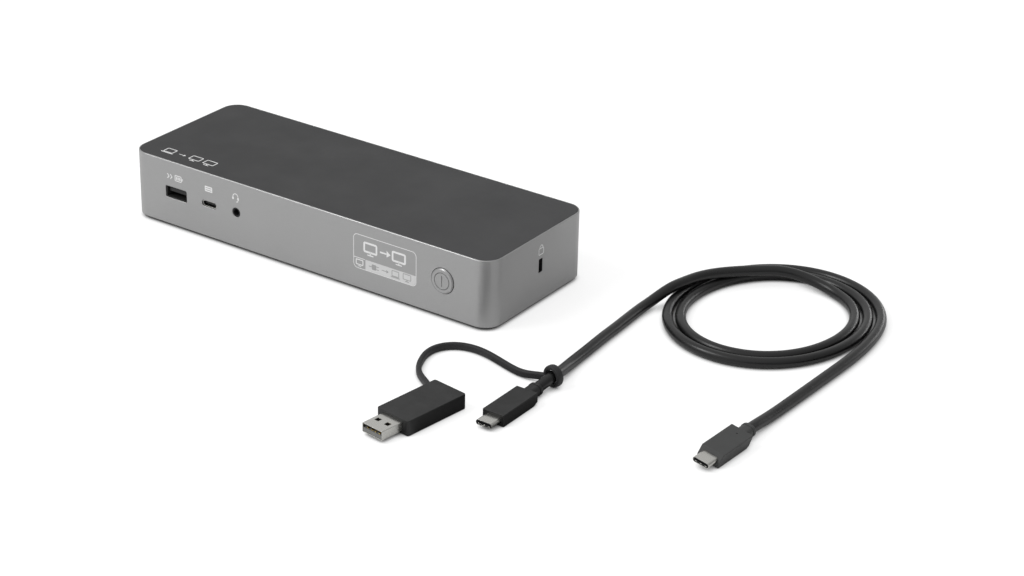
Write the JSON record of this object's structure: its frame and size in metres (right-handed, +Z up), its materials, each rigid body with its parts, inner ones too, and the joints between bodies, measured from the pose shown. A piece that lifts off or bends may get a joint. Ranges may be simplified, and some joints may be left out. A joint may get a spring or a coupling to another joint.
{
  "type": "laptop docking station",
  "caption": "Low rectangular desktop docking station with front and rear ports, a power button, a lock slot and a coiled host cable with a tethered plug adapter.",
  "frame": {"origin": "centre of the dock's footprint on the desk, which is the middle of the centre foot's underside", "axes": "+X to the right seen from the front, along the dock's length; +Y to the rear; +Z up"},
  "size_m": [0.3704, 0.2565, 0.0358],
  "materials": {
    "satin_grey_metal": "satin",
    "dark_cover": "satin",
    "black_plastic": "matte",
    "rubber": "matte",
    "steel": "satin",
    "circuit_board": "semi-gloss",
    "brass": "satin",
    "led_lens": "gloss",
    "chip": "matte",
    "thermal_silicone": "matte",
    "heat_sink_aluminium": "satin",
    "capacitor_can": "satin",
    "gold_contacts": "gloss",
    "cable_jacket": "satin",
    "plug_plastic": "satin"
  },
  "bodies": {
    "dock": {"housing_frame": "satin_grey_metal", "top_cover": "dark_cover", "base_cover": "black_plastic", "rear_panel": "black_plastic", "rubber_feet": "rubber", "case_screws": "steel", "lock_plate": "steel", "main_board": "circuit_board", "board_screws": "steel", "front_board": "circuit_board", "front_board_standoffs": "brass", "board_link_header": "black_plastic", "button_board": "circuit_board", "power_led": "led_lens", "display_chip": "chip", "thermal_pad": "thermal_silicone", "heat_sink": "heat_sink_aluminium", "hub_chips": "chip", "capacitors": "capacitor_can", "inductors": "chip", "ethernet_transformer": "chip", "front_usb_a_shell": "steel", "front_usb_a_tongue": "black_plastic", "front_usb_a_contacts": "gold_contacts", "front_usb_c_shell": "steel", "front_usb_c_tongue": "black_plastic", "audio_jack_body": "black_plastic", "audio_jack_sleeve": "black_plastic", "switch_body": "black_plastic", "rear_usb_a_shells": "steel", "rear_usb_a_tongues": "black_plastic", "rear_usb_a_contacts": "gold_contacts", "rear_usb_c_shell": "steel", "rear_usb_c_tongue": "black_plastic", "displayport_shells": "steel", "displayport_tongues": "black_plastic", "hdmi_shells": "steel", "hdmi_tongues": "black_plastic", "ethernet_jack": "black_plastic", "ethernet_contacts": "gold_contacts", "ethernet_lights": "led_lens", "dc_jack_body": "black_plastic", "dc_jack_pin": "steel"},
    "power_button": {"power_button": "satin_grey_metal"},
    "switch_stem": {"switch_stem": "black_plastic"},
    "cable": {"cable_coil": "cable_jacket"},
    "lead_a": {"cable_lead_a": "cable_jacket", "plug_a_overmold": "plug_plastic", "plug_a_shell": "steel", "plug_a_insert": "black_plastic"},
    "lead_b": {"cable_lead_b": "cable_jacket", "plug_b_overmold": "plug_plastic", "plug_b_shell": "steel", "plug_b_insert": "black_plastic"},
    "adapter": {"tether_strap": "rubber", "adapter_housing": "plug_plastic", "adapter_usb_a_shell": "steel", "adapter_usb_a_tongue": "black_plastic", "adapter_contacts": "gold_contacts", "adapter_usb_c_receptacle": "steel"}
  },
  "joints": [
    {"name": "power_button_press", "type": "slide", "parent": "dock", "child": "power_button", "axis": [0, 1, 0], "range_m": [0, 0.0005]},
    {"name": "switch_stem_press", "type": "slide", "parent": "dock", "child": "switch_stem", "axis": [0, 1, 0], "range_m": [0, 0.0005]},
    {"name": "cable_lift", "type": "slide", "parent": "dock", "child": "cable", "axis": [0, 0, 1], "range_m": [0, 0.06]},
    {"name": "lead_a_bend", "type": "hinge", "parent": "cable", "child": "lead_a", "pos_m": [0.1553, -0.006, 0.0026], "axis": [0, 0, 1], "range_deg": [0, 12]},
    {"name": "lead_b_bend", "type": "hinge", "parent": "cable", "child": "lead_b", "pos_m": [0.25614, 0.01, 0.0026], "axis": [0, 0, 1], "range_deg": [0, 22]},
    {"name": "tether_swing", "type": "hinge", "parent": "lead_a", "child": "adapter", "pos_m": [0.1612, -0.0632, 0.0052], "axis": [0, 1, 0], "range_deg": [0, 180]}
  ],
  "couplings": [
    {"joint": "switch_stem_press", "follows": "power_button_press", "ratio": 1}
  ]
}
